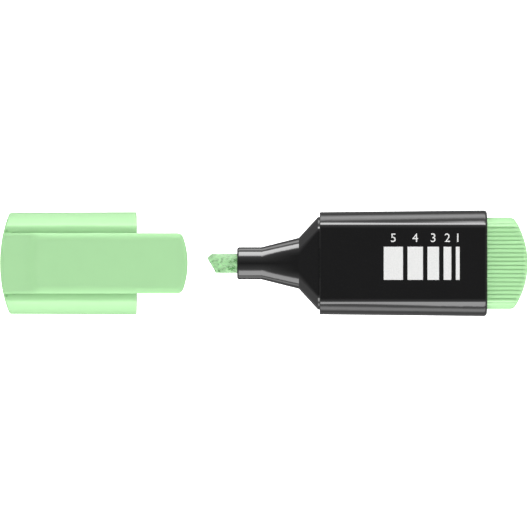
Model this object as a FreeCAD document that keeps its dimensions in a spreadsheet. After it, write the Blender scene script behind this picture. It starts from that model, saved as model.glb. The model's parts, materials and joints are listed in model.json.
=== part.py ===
import FreeCAD, Part
import math
import os

import Sketcher

# Flat-oval chisel highlighter, cap pulled off in front of the nib.
# Row frame, millimetres: +X runs along the pen axis towards the end plug, +Z is up and
# the pen lies on its wide back on z = 0. Every body is drawn about the pen axis, so its
# own origin is on the axis and its Placement lifts it by half the pen's thickness.

doc = FreeCAD.newDocument("highlighter")

SIZES = {
    # outside of the pen
    "pen_thickness": 16.0,
    "front_width": 26.65,
    "rear_width": 27.55,
    "face_width": 18.4,
    "edge_radius": 1.8,
    # barrel
    "barrel_length": 43.5,
    "barrel_bore_width": 23.2,
    "barrel_bore_thickness": 12.8,
    "barrel_bore_face": 17.2,
    "barrel_bore_radius": 1.4,
    "barrel_front_round": 0.25,
    "barrel_rear_round": 0.8,
    "barrel_rib_width": 1.0,
    "barrel_rib_pitch": 12.0,
    "barrel_rib_length": 29.0,
    "barrel_rib_start": 8.4,
    "barrel_rib_bite": 0.3,
    # nose section
    "collar_width": 24.1,
    "collar_thickness": 13.4,
    "collar_face": 16.4,
    "collar_radius": 1.8,
    "collar_length": 0.45,
    "cone_length": 4.95,
    "neck_length": 9.75,
    "neck_width": 13.3,
    "neck_thickness": 10.2,
    "neck_face": 4.5,
    "neck_radius": 4.1,
    "tube_length": 6.3,
    "tube_diameter": 8.4,
    "tube_dome": 0.6,
    "nose_wall": 1.2,
    "nose_skirt_length": 8.0,
    "nose_vent_diameter": 0.7,
    "nose_vent_start": 1.0,
    "fit_gap": 0.05,
    # nib
    "nib_diameter": 5.0,
    "nib_bore_gap": 0.05,
    "nib_exposed": 7.8,
    "nib_inside": 32.2,
    "nib_tip_offset": 1.45,
    "nib_heel_offset": 2.45,
    "nib_heel_setback": 2.3,
    "nib_tip_shoulder": 1.3,
    "nib_edge_thickness": 0.9,
    "nib_wedge_angle": 22.0,
    # ink reservoir and its film
    "reservoir_width": 20.6,
    "reservoir_thickness": 10.9,
    "reservoir_face": 14.4,
    "reservoir_radius": 2.2,
    "reservoir_length": 28.6,
    "reservoir_start": 8.6,
    "sleeve_wall": 0.15,
    "sleeve_gap": 0.02,
    # end plug
    "plug_width": 23.8,
    "plug_thickness": 13.2,
    "plug_face": 18.2,
    "plug_radius": 1.7,
    "plug_length": 10.5,
    "plug_end_radius": 21.3,
    "plug_end_round": 1.5,
    "plug_skirt_length": 5.6,
    "plug_wall": 1.3,
    "plug_hollow_reach": 4.0,
    "plug_rib_start": 1.0,
    "plug_rib_reach": 3.2,
    "groove_pitch": 1.08,
    "groove_width": 0.3,
    "groove_depth": 0.3,
    "groove_start": 0.2,
    # cap
    "cap_length": 35.35,
    "cap_pulled_off": 47.55,
    "cap_end_width": 26.35,
    "cap_face_width": 17.8,
    "cap_end_radius": 38.5,
    "cap_end_round": 0.7,
    "cap_wall": 1.12,
    "cap_cavity_start": 4.2,
    "cap_relief_start": 2.4,
    "cap_relief_end": 5.2,
    "cap_relief_width": 17.0,
    "seat_start": 1.6,
    "seat_end": 3.0,
    "seat_inset": 0.4,
    "seat_bite": 0.5,
    "pit_depth": 0.6,
    "pit_gap": 0.3,
    "pit_width": 0.7,
    "pit_start": 1.15,
    "pit_length": 1.0,
    "small_pit_gap": 0.1,
    "small_pit_width": 0.3,
    "small_pit_start": 3.1,
    "small_pit_length": 0.9,
    # inner cap
    "inner_cup_diameter": 11.0,
    "inner_bore_diameter": 8.8,
    "inner_lip_diameter": 8.5,
    "inner_lip_length": 1.2,
    "inner_start": 2.5,
    "inner_floor": 1.2,
    "inner_end": 18.0,
    "inner_flange": 1.0,
    "inner_fin_thickness": 1.0,
    "inner_fin_length": 9.0,
    # clip
    "clip_width": 15.7,
    "clip_length": 48.7,
    "clip_thickness": 1.6,
    "clip_gap": 1.2,
    "clip_seat_gap": 0.03,
    "clip_tip_radius": 20.5,
    "clip_corner_radius": 1.7,
    "clip_edge_round": 1.2,
    "clip_roll": 2.7,
    "clip_roll_drop": 0.75,
    "clip_ridge_height": 0.95,
    "clip_ridge_length": 3.2,
    "clip_ridge_start": 43.2,
    "clip_ridge_inset": 1.5,
    "clip_ridge_bite": 0.1,
}

sheet = doc.addObject("Spreadsheet::Sheet", "Sheet")
for row, (alias, value) in enumerate(SIZES.items(), start=1):
    sheet.set("A%d" % row, alias)
    sheet.set("B%d" % row, str(value))
    sheet.setAlias("B%d" % row, alias)
doc.recompute()

ROUGH = 3.0         # how far a cutting outline runs past what it trims
THROUGH = "Sheet.pen_thickness * 2"     # length of a cut that goes right through
ROUND_STEPS = 4     # flat strips that make up a rounded loft edge
EDGE_SAMPLES = 4    # stretches an edge is sampled in when it is tested
CLOSE = 1e-4        # points nearer than this are taken as the same
RIBS_ACROSS = 2
VENTS = 4
FULL_TURN = 360


def beyond(expression):
    """Place a rough margin past the given one."""
    return "%s + %g" % (expression, ROUGH)


def size(expression):
    """Present value of a sheet expression."""
    return float(sheet.evalExpression(expression))


def new_body(name, x):
    """Body on the pen axis, moved along it by the expression x."""
    body = doc.addObject("PartDesign::Body", name)
    body.Label = name
    body.setExpression("Placement.Base.x", x)
    body.setExpression("Placement.Base.z", "Sheet.pen_thickness / 2")
    return body


def origin_part(body, role):
    for item in body.Origin.OriginFeatures:
        if item.Role == role:
            return item
    raise ValueError(role)


def new_sketch(body, name, role, offset):
    """Sketch on an origin plane, moved along the plane's normal."""
    sketch = body.newObject("Sketcher::SketchObject", name)
    sketch.AttachmentSupport = [(origin_part(body, role), "")]
    sketch.MapMode = "FlatFace"
    sketch.setExpression("AttachmentOffset.Base.z", offset)
    return sketch


def bind(sketch, kind, refs, expression, name):
    """Named driving dimension, bound to the sheet."""
    index = sketch.addConstraint(Sketcher.Constraint(kind, *refs, size(expression)))
    sketch.renameConstraint(index, name)
    sketch.setExpression("Constraints." + name, expression)


def arc(cx, cy, radius, start, end):
    centre = FreeCAD.Vector(cx, cy, 0)
    circle = Part.Circle(centre, FreeCAD.Vector(0, 0, 1), radius)
    return Part.ArcOfCircle(circle, start, end)


def line(x1, y1, x2, y2):
    return Part.LineSegment(FreeCAD.Vector(x1, y1, 0), FreeCAD.Vector(x2, y2, 0))


def flat_oval(body, name, offset, width, thickness, face, radius):
    """Section across the pen axis: two flat faces joined by bowed sides."""
    sketch = new_sketch(body, name, "YZ_Plane", offset)
    w = size(width) / 2
    t = size(thickness) / 2
    f = size(face) / 2
    r = size(radius)
    centre = ((w - r) ** 2 - f ** 2 - (t - r) ** 2) / (2 * (w - r - f))
    bow = w - centre
    turn = math.atan2(t - r, f - centre)
    quarter = math.pi / 2
    sketch.addGeometry([
        line(-f, t, f, t),
        arc(f, t - r, r, turn, quarter),
        arc(centre, 0, bow, -turn, turn),
        arc(f, r - t, r, -quarter, -turn),
        line(f, -t, -f, -t),
        arc(-f, r - t, r, math.pi + turn, 3 * quarter),
        arc(-centre, 0, bow, math.pi - turn, math.pi + turn),
        arc(-f, t - r, r, quarter, math.pi - turn),
    ])
    sketch.addGeometry(Part.Point(FreeCAD.Vector(w, 0, 0)), True)
    sketch.addConstraint([
        Sketcher.Constraint("Tangent", 0, 2, 1, 2),
        Sketcher.Constraint("Tangent", 1, 1, 2, 2),
        Sketcher.Constraint("Coincident", 2, 1, 3, 2),
        Sketcher.Constraint("Coincident", 3, 1, 4, 1),
        Sketcher.Constraint("Coincident", 4, 2, 5, 2),
        Sketcher.Constraint("Coincident", 5, 1, 6, 2),
        Sketcher.Constraint("Coincident", 6, 1, 7, 2),
        Sketcher.Constraint("Coincident", 7, 1, 0, 1),
        Sketcher.Constraint("Symmetric", 0, 1, 0, 2, -2),
        Sketcher.Constraint("Symmetric", 1, 1, 7, 2, -2),
        Sketcher.Constraint("Symmetric", 2, 1, 6, 2, -2),
        Sketcher.Constraint("Symmetric", 4, 1, 4, 2, -2),
        Sketcher.Constraint("Symmetric", 0, 2, 4, 1, -1),
        Sketcher.Constraint("Symmetric", 1, 1, 3, 2, -1),
        Sketcher.Constraint("Equal", 1, 3),
        Sketcher.Constraint("Equal", 1, 5),
        Sketcher.Constraint("Equal", 1, 7),
        Sketcher.Constraint("Equal", 2, 6),
        Sketcher.Constraint("PointOnObject", 8, 1, 2),
        Sketcher.Constraint("PointOnObject", 8, 1, -1),
    ])
    bind(sketch, "DistanceY", (-1, 1, 0, 2), "(%s) / 2" % thickness, "half_thickness")
    bind(sketch, "DistanceX", (-1, 1, 0, 2), "(%s) / 2" % face, "half_face")
    bind(sketch, "Radius", (1,), radius, "edge_radius")
    bind(sketch, "DistanceX", (-1, 1, 8, 1), "(%s) / 2" % width, "half_width")
    return sketch


def disc(body, name, offset, diameter, role="YZ_Plane"):
    """Circle about the pen axis."""
    sketch = new_sketch(body, name, role, offset)
    circle = Part.Circle(FreeCAD.Vector(0, 0, 0), FreeCAD.Vector(0, 0, 1), size(diameter) / 2)
    sketch.addGeometry(circle)
    sketch.addConstraint(Sketcher.Constraint("Coincident", 0, 3, -1, 1))
    bind(sketch, "Diameter", (0,), diameter, "diameter")
    return sketch


def polygon(sketch, points):
    """Closed outline; points are (x expression, y expression) pairs, each one bound."""
    first = sketch.GeometryCount
    count = len(points)
    spots = [(size(px), size(py)) for px, py in points]
    for index in range(count):
        x1, y1 = spots[index]
        x2, y2 = spots[(index + 1) % count]
        sketch.addGeometry(line(x1, y1, x2, y2))
    for index in range(count):
        here = first + index
        after = first + (index + 1) % count
        sketch.addConstraint(Sketcher.Constraint("Coincident", here, 2, after, 1))
    for index, (px, py) in enumerate(points):
        label = "p%d" % (first + index)
        spot = first + index
        bind_place(sketch, "X", spot, px, label + "_x")
        bind_place(sketch, "Y", spot, py, label + "_y")
    return sketch


def bind_place(sketch, along, spot, expression, name):
    """Holds a line's start point at a signed distance from the sketch origin."""
    value = size(expression)
    if abs(value) < CLOSE:
        axis = -2 if along == "X" else -1
        sketch.addConstraint(Sketcher.Constraint("PointOnObject", spot, 1, axis))
        return
    bind(sketch, "Distance" + along, (-1, 1, spot, 1), expression, name)


def box_points(x1, x2, y1, y2):
    return [(x1, y1), (x2, y1), (x2, y2), (x1, y2)]


def feature(body, kind, name, profile):
    item = body.newObject("PartDesign::" + kind, name)
    item.Profile = profile
    return item


def pad(body, name, sketch, length, symmetric=False):
    item = feature(body, "Pad", name, sketch)
    if symmetric:
        item.SideType = "Symmetric"
    item.setExpression("Length", length)
    doc.recompute()
    return item


def pocket(body, name, sketch, length=None, forward=True, symmetric=False):
    """Cut of the given length; forward cuts along the sketch plane's normal."""
    item = feature(body, "Pocket", name, sketch)
    item.Reversed = forward
    if symmetric:
        item.SideType = "Symmetric"
    if length is None:
        item.Type = "ThroughAll"
    else:
        item.setExpression("Length", length)
    doc.recompute()
    return item


def loft(body, kind, name, sections):
    item = feature(body, kind, name, sections[0])
    item.Sections = sections[1:]
    item.Ruled = True
    doc.recompute()
    return item


def edge_names(shape, wanted):
    """Names of the edges whose every sampled point passes the test."""
    names = []
    for index, edge in enumerate(shape.Edges, start=1):
        first, last = edge.ParameterRange
        steps = [first + (last - first) * k / EDGE_SAMPLES for k in range(EDGE_SAMPLES + 1)]
        if all(wanted(edge.valueAt(step)) for step in steps):
            names.append("Edge%d" % index)
    return names


def dress(body, kind, name, wanted, amount):
    """Fillet or chamfer on the chosen edges of the body so far."""
    base = body.Tip
    names = edge_names(base.Shape, wanted)
    item = body.newObject("PartDesign::" + kind, name)
    item.Base = (base, names)
    item.setExpression("Radius" if kind == "Fillet" else "Size", amount)
    doc.recompute()
    return item


def pattern(body, kind, name, originals):
    item = body.newObject("PartDesign::" + kind, name)
    item.Originals = originals
    body.Tip = item
    return item


def near(value, target):
    return abs(value - target) < CLOSE


TOTAL = "(Sheet.cap_length + Sheet.cap_pulled_off + Sheet.barrel_length + Sheet.plug_length)"
CAP_END = "-" + TOTAL + " / 2"
BARREL_FRONT = CAP_END + " + Sheet.cap_length + Sheet.cap_pulled_off"
BARREL_REAR = BARREL_FRONT + " + Sheet.barrel_length"
OUTER = ("Sheet.pen_thickness", "Sheet.face_width", "Sheet.edge_radius")
FRONT = ("Sheet.front_width",) + OUTER
REAR = ("Sheet.rear_width",) + OUTER
CAP_OUTER = ("Sheet.pen_thickness", "Sheet.cap_face_width", "Sheet.edge_radius")
CAP_TOP = ("Sheet.cap_end_width",) + CAP_OUTER
CAP_MOUTH = ("Sheet.front_width",) + CAP_OUTER
BORE = (
    "Sheet.barrel_bore_width",
    "Sheet.barrel_bore_thickness",
    "Sheet.barrel_bore_face",
    "Sheet.barrel_bore_radius",
)


def inset(section, amount):
    """Parallel copy of a flat oval, smaller by amount all round."""
    width, thickness, face, radius = section
    return (
        "(%s - 2 * (%s))" % (width, amount),
        "(%s - 2 * (%s))" % (thickness, amount),
        face,
        "(%s - (%s))" % (radius, amount),
    )


def rounded_edge(body, name, section, radius, end, outward):
    """Sections that round a loft off towards its end, widest first."""
    sections = []
    for step in range(ROUND_STEPS + 1):
        turn = "%g deg" % (90 * step / ROUND_STEPS)
        place = "%s - %d * %s * (1 - sin(%s))" % (end, outward, radius, turn)
        amount = "%s * (1 - cos(%s))" % (radius, turn)
        label = "%s_section_%d" % (name, step)
        sections.append(flat_oval(body, label, place, *inset(section, amount)))
    return sections


# ---------------------------------------------------------------- barrel
# Open tube, a little wider at the back; its own x = 0 is the front edge.
barrel = new_body("barrel", BARREL_FRONT)
front_edge = rounded_edge(barrel, "barrel_front", FRONT, "Sheet.barrel_front_round", "0", -1)
rear_edge = rounded_edge(
    barrel, "barrel_rear", REAR, "Sheet.barrel_rear_round", "Sheet.barrel_length", 1
)
barrel_sections = list(reversed(front_edge)) + rear_edge
loft(barrel, "AdditiveLoft", "barrel_body", barrel_sections)
pocket(barrel, "barrel_bore", flat_oval(barrel, "barrel_bore_section", "0", *BORE))
rib_top = "Sheet.barrel_bore_thickness / 2"
rib_foot = "Sheet.reservoir_thickness / 2 + Sheet.sleeve_wall + Sheet.sleeve_gap + Sheet.fit_gap"
rib_sketch = new_sketch(barrel, "barrel_rib_section", "YZ_Plane", "Sheet.barrel_rib_start")
rib_left = "-Sheet.barrel_rib_pitch / 2 - Sheet.barrel_rib_width / 2"
rib_right = "-Sheet.barrel_rib_pitch / 2 + Sheet.barrel_rib_width / 2"
polygon(rib_sketch, box_points(rib_left, rib_right, rib_foot, rib_top + " + Sheet.barrel_rib_bite"))
barrel_rib = pad(barrel, "barrel_rib", rib_sketch, "Sheet.barrel_rib_length")
rib_row = pattern(barrel, "LinearPattern", "barrel_ribs_across", [barrel_rib])
rib_row.Direction = (origin_part(barrel, "Y_Axis"), [""])
rib_row.Occurrences = RIBS_ACROSS
rib_row.setExpression("Length", "Sheet.barrel_rib_pitch")
doc.recompute()
rib_pairs = pattern(barrel, "Mirrored", "barrel_ribs_below", [barrel_rib])
rib_pairs.MirrorPlane = (origin_part(barrel, "XY_Plane"), [""])
doc.recompute()

# ---------------------------------------------------------------- nose section
# Collar, tapered shoulder, neck and round nib tube in front of the barrel, and a skirt
# inside it; x = 0 is the barrel's front edge.
nose = new_body("nose_section", BARREL_FRONT)
CONE_REAR = "-Sheet.collar_length"
CONE_FRONT = "-Sheet.collar_length - Sheet.cone_length"
TUBE_REAR = "(%s - Sheet.neck_length)" % CONE_FRONT
TUBE_FRONT = "(%s - Sheet.tube_length)" % TUBE_REAR
COLLAR = ("Sheet.collar_width", "Sheet.collar_thickness", "Sheet.collar_face", "Sheet.collar_radius")
NECK = ("Sheet.neck_width", "Sheet.neck_thickness", "Sheet.neck_face", "Sheet.neck_radius")

tube_disc = disc(nose, "nose_tube_section", TUBE_FRONT, "Sheet.tube_diameter")
pad(nose, "nose_tube", tube_disc, "Sheet.tube_length")
neck_sections = [
    disc(nose, "nose_neck_front", TUBE_REAR, "Sheet.tube_diameter"),
    flat_oval(nose, "nose_neck_rear", CONE_FRONT, *NECK),
]
loft(nose, "AdditiveLoft", "nose_neck", neck_sections)
cone_sections = [
    flat_oval(nose, "nose_cone_front", CONE_FRONT, *NECK),
    flat_oval(nose, "nose_cone_rear", CONE_REAR, *COLLAR),
]
loft(nose, "AdditiveLoft", "nose_cone", cone_sections)
collar = flat_oval(nose, "nose_collar_section", CONE_REAR, *COLLAR)
pad(nose, "nose_collar", collar, "Sheet.collar_length")
SKIRT = inset(BORE, "Sheet.fit_gap")
skirt = flat_oval(nose, "nose_skirt_section", "0", *SKIRT)
pad(nose, "nose_skirt", skirt, "Sheet.nose_skirt_length")

# hollow behind the shoulder
HOLLOW = inset(SKIRT, "Sheet.nose_wall")
hollow = flat_oval(nose, "nose_hollow_section", "Sheet.nose_skirt_length", *HOLLOW)
pocket(nose, "nose_hollow", hollow, "Sheet.nose_skirt_length", forward=False)
NECK_HOLLOW = inset(NECK, "Sheet.nose_wall")
shoulder_sections = [
    flat_oval(nose, "nose_shoulder_rear", "0", *HOLLOW),
    flat_oval(nose, "nose_shoulder_front", CONE_FRONT + " + Sheet.nose_wall", *NECK_HOLLOW),
]
loft(nose, "SubtractiveLoft", "nose_shoulder_hollow", shoulder_sections)

# nib bore with four vent grooves
nib_bore = disc(nose, "nose_nib_bore", TUBE_FRONT, "Sheet.nib_diameter + 2 * Sheet.nib_bore_gap")
pocket(nose, "nose_nib_hole", nib_bore)
vent_sketch = new_sketch(nose, "nose_vent_section", "YZ_Plane", TUBE_FRONT + " + Sheet.nose_vent_start")
vent_circle = Part.Circle(
    FreeCAD.Vector(0, size("Sheet.nib_diameter / 2"), 0),
    FreeCAD.Vector(0, 0, 1),
    size("Sheet.nose_vent_diameter / 2"),
)
vent_sketch.addGeometry(vent_circle)
vent_sketch.addConstraint(Sketcher.Constraint("PointOnObject", 0, 3, -2))
bind(vent_sketch, "DistanceY", (-1, 1, 0, 3), "Sheet.nib_diameter / 2", "vent_height")
bind(vent_sketch, "Diameter", (0,), "Sheet.nose_vent_diameter", "vent_diameter")
vent = pocket(nose, "nose_vent", vent_sketch)
vents = pattern(nose, "PolarPattern", "nose_vents", [vent])
vents.Axis = (origin_part(nose, "X_Axis"), [""])
vents.Angle = FULL_TURN
vents.Occurrences = VENTS
doc.recompute()
dress(
    nose, "Fillet", "nose_tube_edge",
    lambda p: near(p.x, size(TUBE_FRONT)) and near(math.hypot(p.y, p.z), size("Sheet.tube_diameter / 2")),
    "Sheet.tube_dome",
)

# ---------------------------------------------------------------- nib
# Felt rod, x = 0 at the mouth of the nib tube; obliquely cut, wedge-shaped writing edge.
nib = new_body("nib", BARREL_FRONT + " + " + TUBE_FRONT)
nib_disc = disc(nib, "nib_section", "-Sheet.nib_exposed", "Sheet.nib_diameter")
pad(nib, "nib_rod", nib_disc, "Sheet.nib_exposed + Sheet.nib_inside")
trim = new_sketch(nib, "nib_oblique_outline", "XY_Plane", "0")
NIB_TIP = "-Sheet.nib_exposed"
NIB_HEEL = "-Sheet.nib_exposed + Sheet.nib_heel_setback"
NIB_SHOULDER = "-Sheet.nib_exposed + Sheet.nib_tip_shoulder"
NIB_SIDE = "Sheet.nib_diameter / 2"
NIB_CLEAR = "%s - %g" % (NIB_TIP, ROUGH)
polygon(trim, [
    (NIB_CLEAR, "Sheet.nib_diameter"),
    (NIB_SHOULDER, "Sheet.nib_diameter"),
    (NIB_SHOULDER, NIB_SIDE),
    (NIB_TIP, "Sheet.nib_tip_offset"),
    (NIB_HEEL, "-Sheet.nib_heel_offset"),
    (NIB_HEEL, "-Sheet.nib_diameter"),
    (NIB_CLEAR, "-Sheet.nib_diameter"),
])
pocket(nib, "nib_oblique_cut", trim, THROUGH, symmetric=True)
wedge = new_sketch(nib, "nib_wedge_outline", "XZ_Plane", "0")
SLANT = "atan((Sheet.nib_tip_offset + Sheet.nib_heel_offset) / Sheet.nib_heel_setback)"
wedge.setExpression("AttachmentOffset.Rotation.Axis.x", "0")
wedge.setExpression("AttachmentOffset.Rotation.Axis.y", "1")
wedge.setExpression("AttachmentOffset.Rotation.Axis.z", "0")
wedge.setExpression("AttachmentOffset.Rotation.Angle", "90 deg - " + SLANT)
EDGE_X = "(-Sheet.nib_exposed + Sheet.nib_tip_offset / tan(%s)) * sin(%s)" % (SLANT, SLANT)
EDGE_CLEAR = "%s - %g" % (EDGE_X, ROUGH)
RUN = "Sheet.nib_diameter / tan(Sheet.nib_wedge_angle * 1 deg)"
for side in ("1", "-1"):
    low = side + " * Sheet.nib_edge_thickness / 2"
    high = side + " * (Sheet.nib_edge_thickness / 2 + Sheet.nib_diameter)"
    polygon(wedge, [
        (EDGE_CLEAR, low),
        (EDGE_X, low),
        (EDGE_X + " + " + RUN, high),
        (EDGE_CLEAR, high),
    ])
pocket(nib, "nib_wedge_cut", wedge, THROUGH, symmetric=True)

# ---------------------------------------------------------------- ink reservoir
RESERVOIR = (
    "Sheet.reservoir_width",
    "Sheet.reservoir_thickness",
    "Sheet.reservoir_face",
    "Sheet.reservoir_radius",
)
reservoir = new_body("ink_reservoir", BARREL_FRONT + " + Sheet.reservoir_start")
core = flat_oval(reservoir, "reservoir_section", "0", *RESERVOIR)
pad(reservoir, "reservoir_core", core, "Sheet.reservoir_length")
socket = disc(reservoir, "reservoir_socket_section", "0", "Sheet.nib_diameter + 2 * Sheet.nib_bore_gap")
NIB_REAR = "%s + Sheet.nib_inside" % TUBE_FRONT
SOCKET_DEPTH = "%s - Sheet.reservoir_start + Sheet.fit_gap" % NIB_REAR
pocket(reservoir, "reservoir_socket", socket, SOCKET_DEPTH)

# film round the reservoir
film = new_body("reservoir_sleeve", BARREL_FRONT + " + Sheet.reservoir_start")
FILM_INNER = inset(RESERVOIR, "-Sheet.sleeve_gap")
FILM_OUTER = inset(RESERVOIR, "-Sheet.sleeve_gap - Sheet.sleeve_wall")
film_outer = flat_oval(film, "sleeve_outer_section", "0", *FILM_OUTER)
pad(film, "sleeve_body", film_outer, "Sheet.reservoir_length")
pocket(film, "sleeve_bore", flat_oval(film, "sleeve_inner_section", "0", *FILM_INNER))

# ---------------------------------------------------------------- end plug
# Ribbed head behind the barrel and a hollow skirt inside it; x = 0 is the barrel's rear.
plug = new_body("end_plug", BARREL_REAR)
PLUG = ("Sheet.plug_width", "Sheet.plug_thickness", "Sheet.plug_face", "Sheet.plug_radius")
head = flat_oval(plug, "plug_head_section", "0", *PLUG)
pad(plug, "plug_head", head, "Sheet.plug_length")


def round_end(body, name, tip, radius, half_width, inward):
    """Trims a body's end to an arc in plan; inward is the way from the tip to the body."""
    sketch = new_sketch(body, name + "_outline", "XY_Plane", "0")
    reach = size(half_width)
    big = size(radius)
    tip_x = size(tip)
    centre_x = tip_x + inward * big
    sweep = math.asin(reach / big)
    facing = math.pi if inward > 0 else 0.0
    drop = big - math.sqrt(big ** 2 - reach ** 2)
    edge_x = tip_x + inward * drop
    back_x = tip_x - inward * ROUGH
    sketch.addGeometry([
        arc(centre_x, 0, big, facing - sweep, facing + sweep),
        line(edge_x, reach, back_x, reach),
        line(back_x, reach, back_x, -reach),
        line(back_x, -reach, edge_x, -reach),
    ])
    high, low = (1, 2) if inward > 0 else (2, 1)
    sketch.addConstraint([
        Sketcher.Constraint("Coincident", 0, high, 1, 1),
        Sketcher.Constraint("Coincident", 1, 2, 2, 1),
        Sketcher.Constraint("Coincident", 2, 2, 3, 1),
        Sketcher.Constraint("Coincident", 3, 2, 0, low),
        Sketcher.Constraint("Horizontal", 1),
        Sketcher.Constraint("Vertical", 2),
        Sketcher.Constraint("Horizontal", 3),
        Sketcher.Constraint("PointOnObject", 0, 3, -1),
        Sketcher.Constraint("Equal", 1, 3),
    ])
    sign = "" if inward > 0 else "-"
    bind(sketch, "Radius", (0,), radius, "end_radius")
    bind(sketch, "DistanceX", (-1, 1, 0, 3), "%s + %s(%s)" % (tip, sign, radius), "centre_x")
    bind(sketch, "DistanceY", (-1, 1, 1, 1), half_width, "half_width")
    bind(sketch, "DistanceX", (-1, 1, 2, 1), "%s - (%s%g)" % (tip, sign, ROUGH), "back_x")
    pocket(body, name, sketch, THROUGH, symmetric=True)


round_end(
    plug, "plug_round_end", "Sheet.plug_length", "Sheet.plug_end_radius",
    beyond("Sheet.plug_width / 2"), -1,
)
plug_arc_centre = size("Sheet.plug_length - Sheet.plug_end_radius")
dress(
    plug, "Fillet", "plug_end_edge",
    lambda p: near(math.hypot(p.x - plug_arc_centre, p.y), size("Sheet.plug_end_radius")),
    "Sheet.plug_end_round",
)
plug_skirt = flat_oval(plug, "plug_skirt_section", "-Sheet.plug_skirt_length", *SKIRT)
pad(plug, "plug_skirt", plug_skirt, "Sheet.plug_skirt_length")
PLUG_HOLLOW = inset(SKIRT, "Sheet.plug_wall")
plug_hollow = flat_oval(plug, "plug_hollow_section", "-Sheet.plug_skirt_length", *PLUG_HOLLOW)
pocket(plug, "plug_hollow", plug_hollow, "Sheet.plug_skirt_length + Sheet.plug_hollow_reach")
rib = new_sketch(plug, "plug_rib_outline", "YZ_Plane", "-Sheet.plug_skirt_length + Sheet.plug_rib_start")
rib_half = "Sheet.plug_wall / 2"
rib_reach = "Sheet.barrel_bore_thickness / 2 - Sheet.fit_gap - Sheet.plug_wall / 2"
polygon(rib, box_points("-" + rib_half, rib_half, "-(%s)" % rib_reach, rib_reach))
pad(plug, "plug_rib", rib, "Sheet.plug_skirt_length + Sheet.plug_rib_reach")

# lengthwise grooves in both faces
GROOVES = 20
GROOVE_SPAN = "Sheet.groove_pitch * %d" % (GROOVES - 1)
grooves = []
for face, forward in (("top", True), ("bottom", False)):
    side = "" if forward else "-"
    height = "%s(Sheet.plug_thickness / 2 - Sheet.groove_depth)" % side
    groove_sketch = new_sketch(plug, "plug_groove_%s_outline" % face, "XY_Plane", height)
    polygon(groove_sketch, box_points(
        "Sheet.groove_start",
        beyond("Sheet.plug_length"),
        "-(%s) / 2 - Sheet.groove_width / 2" % GROOVE_SPAN,
        "-(%s) / 2 + Sheet.groove_width / 2" % GROOVE_SPAN,
    ))
    grooves.append(pocket(plug, "plug_groove_" + face, groove_sketch, forward=forward))
groove_rows = pattern(plug, "LinearPattern", "plug_grooves", grooves)
groove_rows.Direction = (origin_part(plug, "Y_Axis"), [""])
groove_rows.Occurrences = GROOVES
groove_rows.setExpression("Length", GROOVE_SPAN)
doc.recompute()

# ---------------------------------------------------------------- cap shell
# x = 0 is the closed end, the mouth faces the nib.
cap = new_body("cap_shell", CAP_END)
cap_sections = [
    flat_oval(cap, "cap_end_section", "0", *CAP_TOP),
    flat_oval(cap, "cap_mouth_section", "Sheet.cap_length", *CAP_MOUTH),
]
loft(cap, "AdditiveLoft", "cap_body", cap_sections)
round_end(
    cap, "cap_round_end", "0", "Sheet.cap_end_radius",
    beyond("Sheet.front_width / 2"), 1,
)
cap_arc_centre = size("Sheet.cap_end_radius")
dress(
    cap, "Fillet", "cap_end_edge",
    lambda p: near(math.hypot(p.x - cap_arc_centre, p.y), cap_arc_centre) and p.x < cap_arc_centre,
    "Sheet.cap_end_round",
)
MOUTH = inset(CAP_MOUTH, "Sheet.cap_wall")
FLOOR = inset(CAP_TOP, "Sheet.cap_wall")
cavity_sections = [
    flat_oval(cap, "cap_cavity_end", "Sheet.cap_cavity_start", *FLOOR),
    flat_oval(cap, "cap_cavity_mouth", "Sheet.cap_length", *MOUTH),
]
loft(cap, "SubtractiveLoft", "cap_cavity", cavity_sections)
relief = new_sketch(cap, "cap_floor_relief_outline", "XY_Plane", "0")
polygon(relief, box_points(
    "Sheet.cap_relief_start",
    "Sheet.cap_relief_end",
    "-Sheet.cap_relief_width / 2",
    "Sheet.cap_relief_width / 2",
))
pocket(cap, "cap_floor_relief", relief, "Sheet.pen_thickness - 2 * Sheet.cap_wall", symmetric=True)

# raised seat that carries the clip's root
SEAT_FOOT = "Sheet.pen_thickness / 2 - Sheet.seat_bite"
SEAT_SIDE = "Sheet.clip_width / 2 - Sheet.seat_inset"
root = new_sketch(cap, "cap_clip_seat_outline", "XY_Plane", SEAT_FOOT)
polygon(root, box_points("Sheet.seat_start", "Sheet.seat_end", "-(%s)" % SEAT_SIDE, SEAT_SIDE))
pad(cap, "cap_clip_seat", root, "Sheet.clip_gap + Sheet.seat_bite - Sheet.clip_seat_gap")

# small three-cornered mould pits beside the clip's root
pits = new_sketch(cap, "cap_pit_outlines", "XY_Plane", "Sheet.pen_thickness / 2 - Sheet.pit_depth")
for kind in ("pit", "small_pit"):
    start = "Sheet.%s_start" % kind
    length = "Sheet.%s_length" % kind
    near_side = "Sheet.clip_width / 2 + Sheet.%s_gap" % kind
    for sign in ("", "-"):
        low = "%s(%s)" % (sign, near_side)
        high = "%s(%s + Sheet.%s_width)" % (sign, near_side, kind)
        polygon(pits, [
            (start, low),
            ("%s + %s" % (start, length), low),
            ("%s + %s / 2" % (start, length), high),
        ])
pocket(cap, "cap_pits", pits)

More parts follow.
